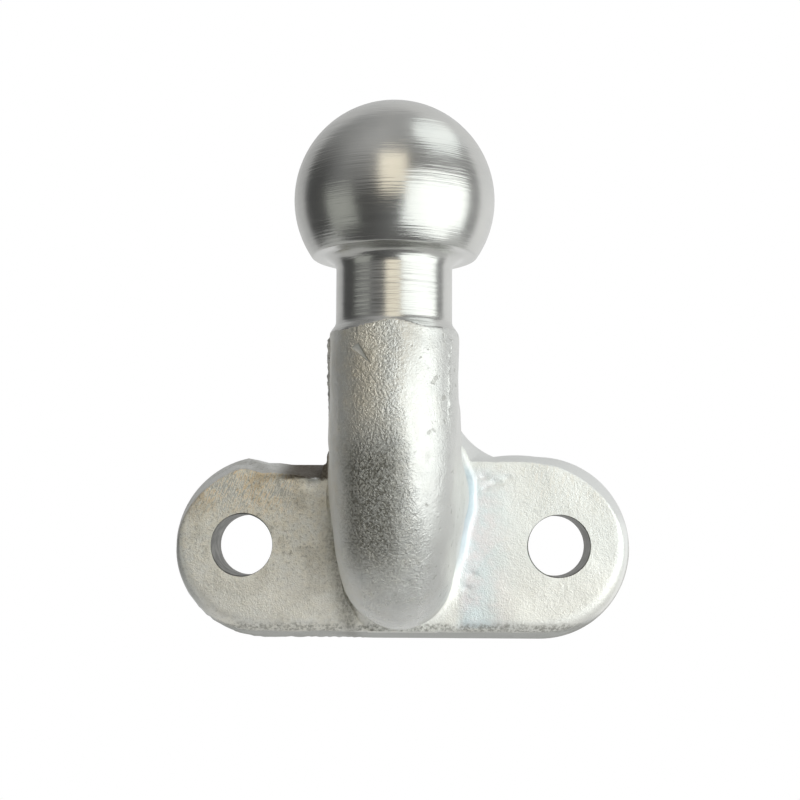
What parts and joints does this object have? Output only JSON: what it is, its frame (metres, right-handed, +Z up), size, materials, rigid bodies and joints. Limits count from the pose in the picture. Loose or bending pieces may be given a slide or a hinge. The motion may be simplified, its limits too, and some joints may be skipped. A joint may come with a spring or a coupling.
{
  "type": "tow ball",
  "caption": "Forged steel tow ball on a cranked arm with a drilled mounting flange, for bolting to a tow bar and carrying a trailer coupling.",
  "frame": {"origin": "midway between the two bolt holes, on the flat mounting face", "axes": "+Y out of the mounting face, away from the ball; +Z up along the neck to the ball; +X along the line of the bolt holes"},
  "size_m": [0.1342, 0.0958, 0.1382],
  "materials": {
    "zinc_steel": "zinc plated: bright and turned on the ball and neck, matt and forged on the arm and flange"
  },
  "bodies": {
    "root": {"tow_ball": "zinc_steel"}
  },
  "joints": []
}
